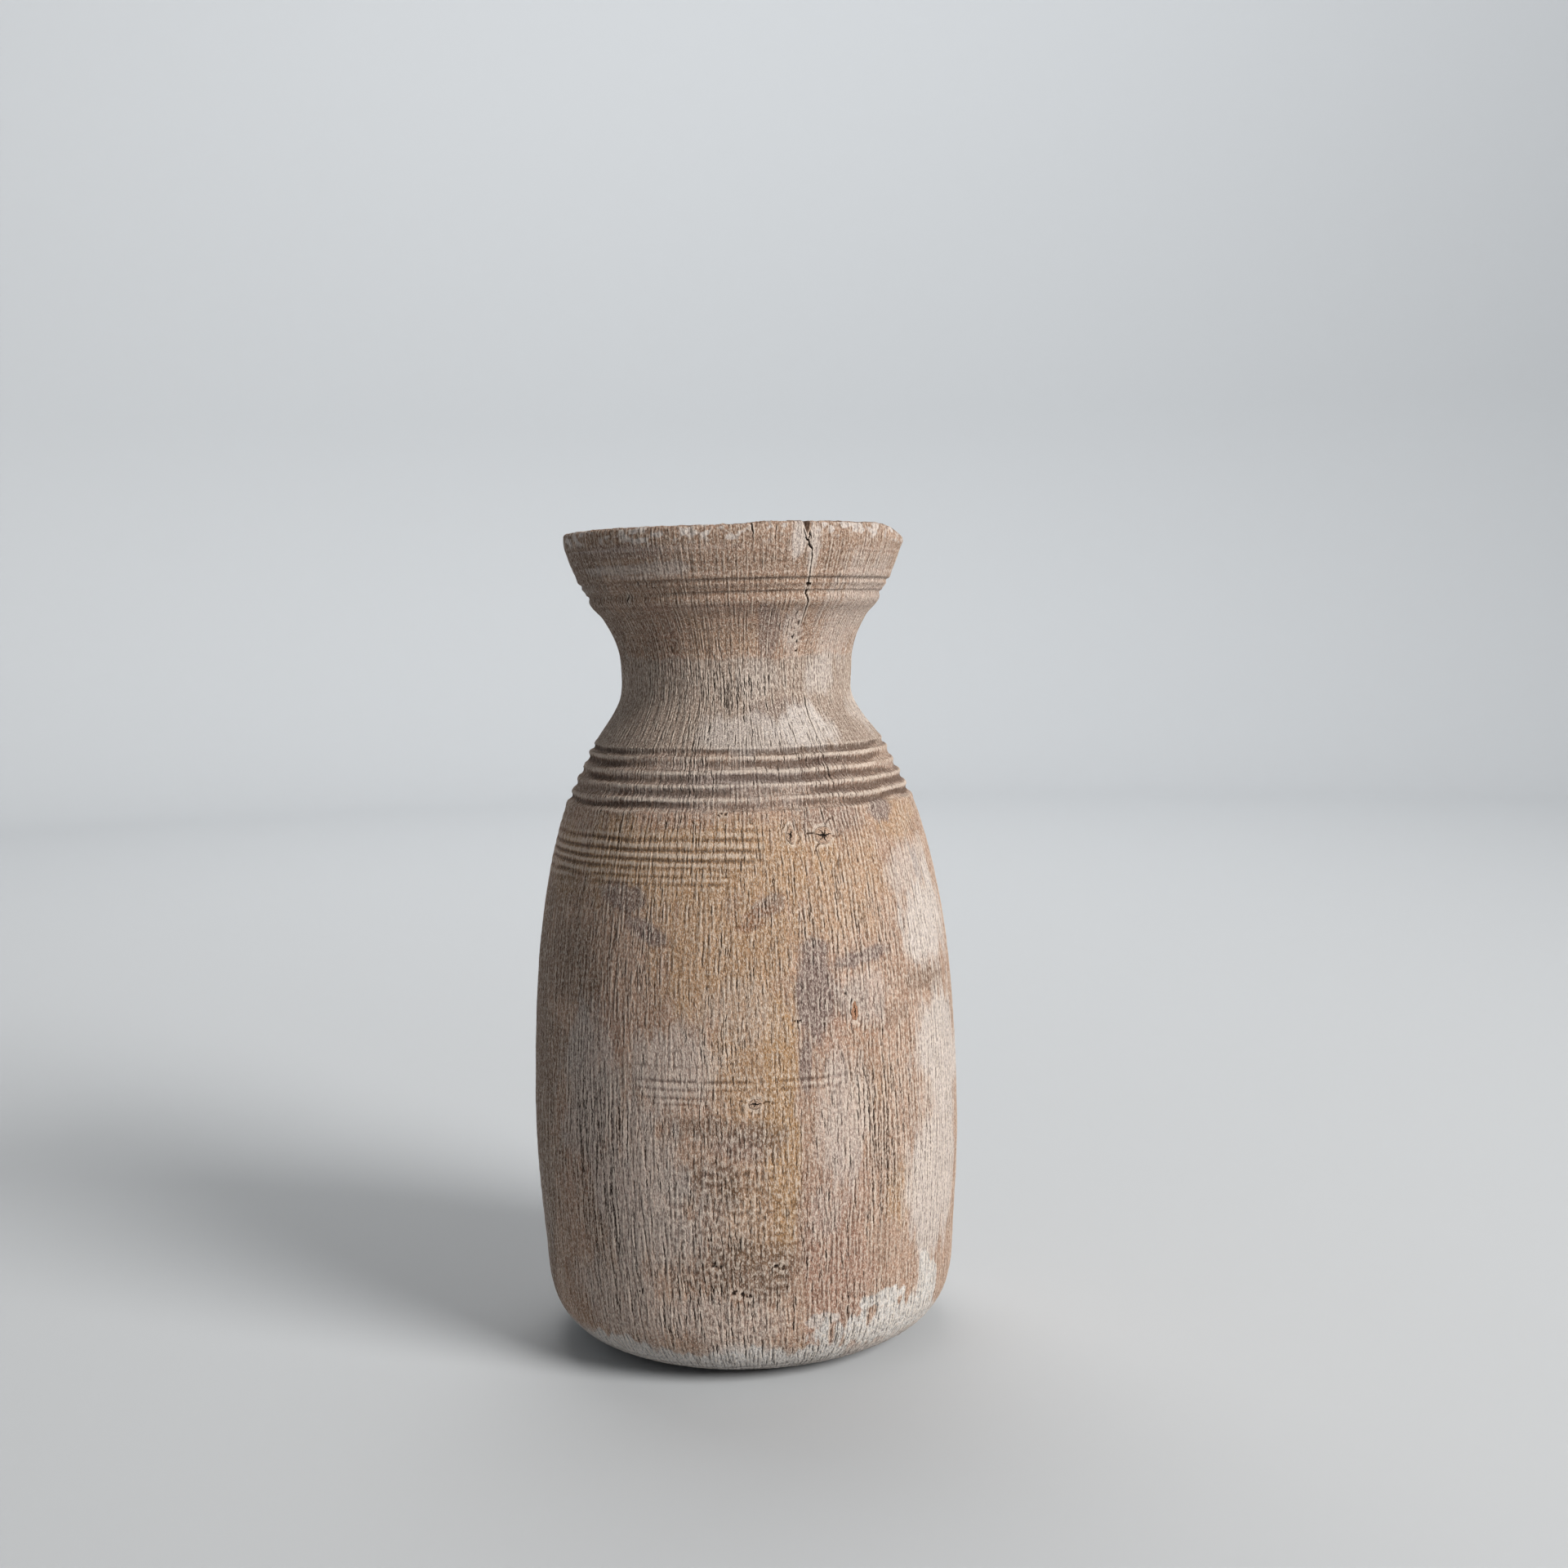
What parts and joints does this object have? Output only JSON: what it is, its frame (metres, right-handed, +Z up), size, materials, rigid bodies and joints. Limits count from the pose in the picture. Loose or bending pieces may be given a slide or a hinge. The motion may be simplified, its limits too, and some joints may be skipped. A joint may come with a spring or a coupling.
{
  "type": "vase",
  "caption": "Round turned wooden pot used as a vase: rounded foot, full belly, grooved shoulder, narrow neck and flared mouth, hollow and open at the top.",
  "frame": {"origin": "centre of the foot's flat face, on the surface the pot stands on", "axes": "+Z up along the turning axis; -Y is the front, the side with the knots and the notch in the rim; +X is to the right seen from the front"},
  "size_m": [0.1538, 0.1536, 0.29],
  "materials": {
    "weathered_wood": "bare weathered wood, dull and dry, with open grain checks and pale bleached patches",
    "knot_wood": "bare dark end grain, dull"
  },
  "bodies": {
    "root": {"turned_body": "weathered_wood", "knot_star": "knot_wood", "knot_eye": "knot_wood", "knot_pin": "knot_wood", "knot_low": "knot_wood"}
  },
  "joints": []
}
